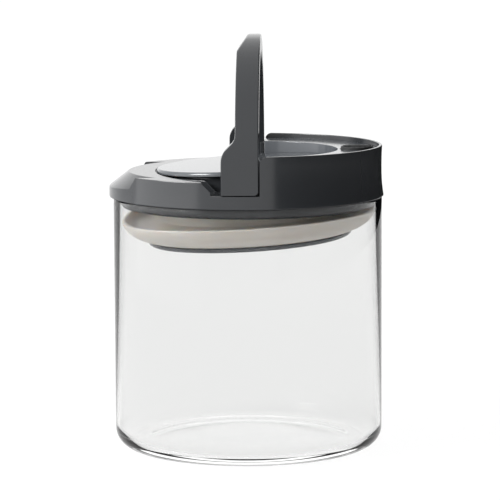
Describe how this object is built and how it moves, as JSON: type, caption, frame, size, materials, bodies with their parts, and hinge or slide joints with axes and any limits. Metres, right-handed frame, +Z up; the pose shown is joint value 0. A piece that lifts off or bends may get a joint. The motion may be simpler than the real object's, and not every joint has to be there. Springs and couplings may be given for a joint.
{
  "type": "glass storage canister",
  "caption": "Straight round glass jar with a press-in plastic lid; its folding bail handle raises a plunger and cup seal, and a small date dial sits on the raised rear rim.",
  "frame": {"origin": "centre of the jar's base, on the surface that it stands on", "axes": "+Z up along the jar's axis; the thumb nose, the front of the lid, faces -X; the handle's pins lie along Y"},
  "size_m": [0.1073, 0.1064, 0.1617],
  "materials": {
    "glass": "clear borosilicate glass, fire-polished",
    "grey_plastic": "semi-gloss moulded dark grey plastic",
    "cap_plastic": "glossy moulded dark grey plastic",
    "dial_plastic": "fine matte moulded near-black plastic",
    "silicone": "milky translucent silicone",
    "steel": "plain stainless steel"
  },
  "bodies": {
    "jar": {"glass_jar": "glass"},
    "lid": {"lid_housing": "grey_plastic", "rear_deck": "grey_plastic", "collar_ring": "grey_plastic", "collar_screw_1": "steel", "collar_screw_2": "steel", "collar_screw_3": "steel", "collar_screw_4": "steel"},
    "dial": {"date_dial": "dial_plastic"},
    "pins": {"hinge_pin_left": "steel", "hinge_pin_right": "steel"},
    "plunger": {"plunger_cap": "cap_plastic", "plunger_body": "grey_plastic", "base_plate": "cap_plastic", "plate_screw_1": "steel", "plate_screw_2": "steel", "plate_screw_3": "steel", "plate_screw_4": "steel", "seal_gasket": "silicone"},
    "handle": {"handle": "grey_plastic"}
  },
  "joints": [
    {"name": "lid_lift", "type": "slide", "parent": "jar", "child": "lid", "axis": [0, 0, 1], "range_m": [0, 0.12]},
    {"name": "dial_turn", "type": "hinge", "parent": "lid", "child": "dial", "pos_m": [0.0428, 0, 0.117], "axis": [0, 0, 1], "continuous": true},
    {"name": "pin_rise", "type": "slide", "parent": "lid", "child": "pins", "axis": [0, 0, 1], "range_m": [0, 0.0073]},
    {"name": "plunger_tilt", "type": "hinge", "parent": "pins", "child": "plunger", "pos_m": [0.00173, 0, 0.10697], "axis": [0, 1, 0], "range_deg": [0, 3.2]},
    {"name": "handle_fold", "type": "hinge", "parent": "pins", "child": "handle", "pos_m": [0.00173, 0, 0.10697], "axis": [0, -1, 0], "range_deg": [0, 90], "deforming": ["seal_gasket"]}
  ],
  "couplings": [
    {"joint": "pin_rise", "follows": "handle_fold", "m_per_rad": 0.0046473},
    {"joint": "plunger_tilt", "follows": "handle_fold", "ratio": 0.035555}
  ]
}
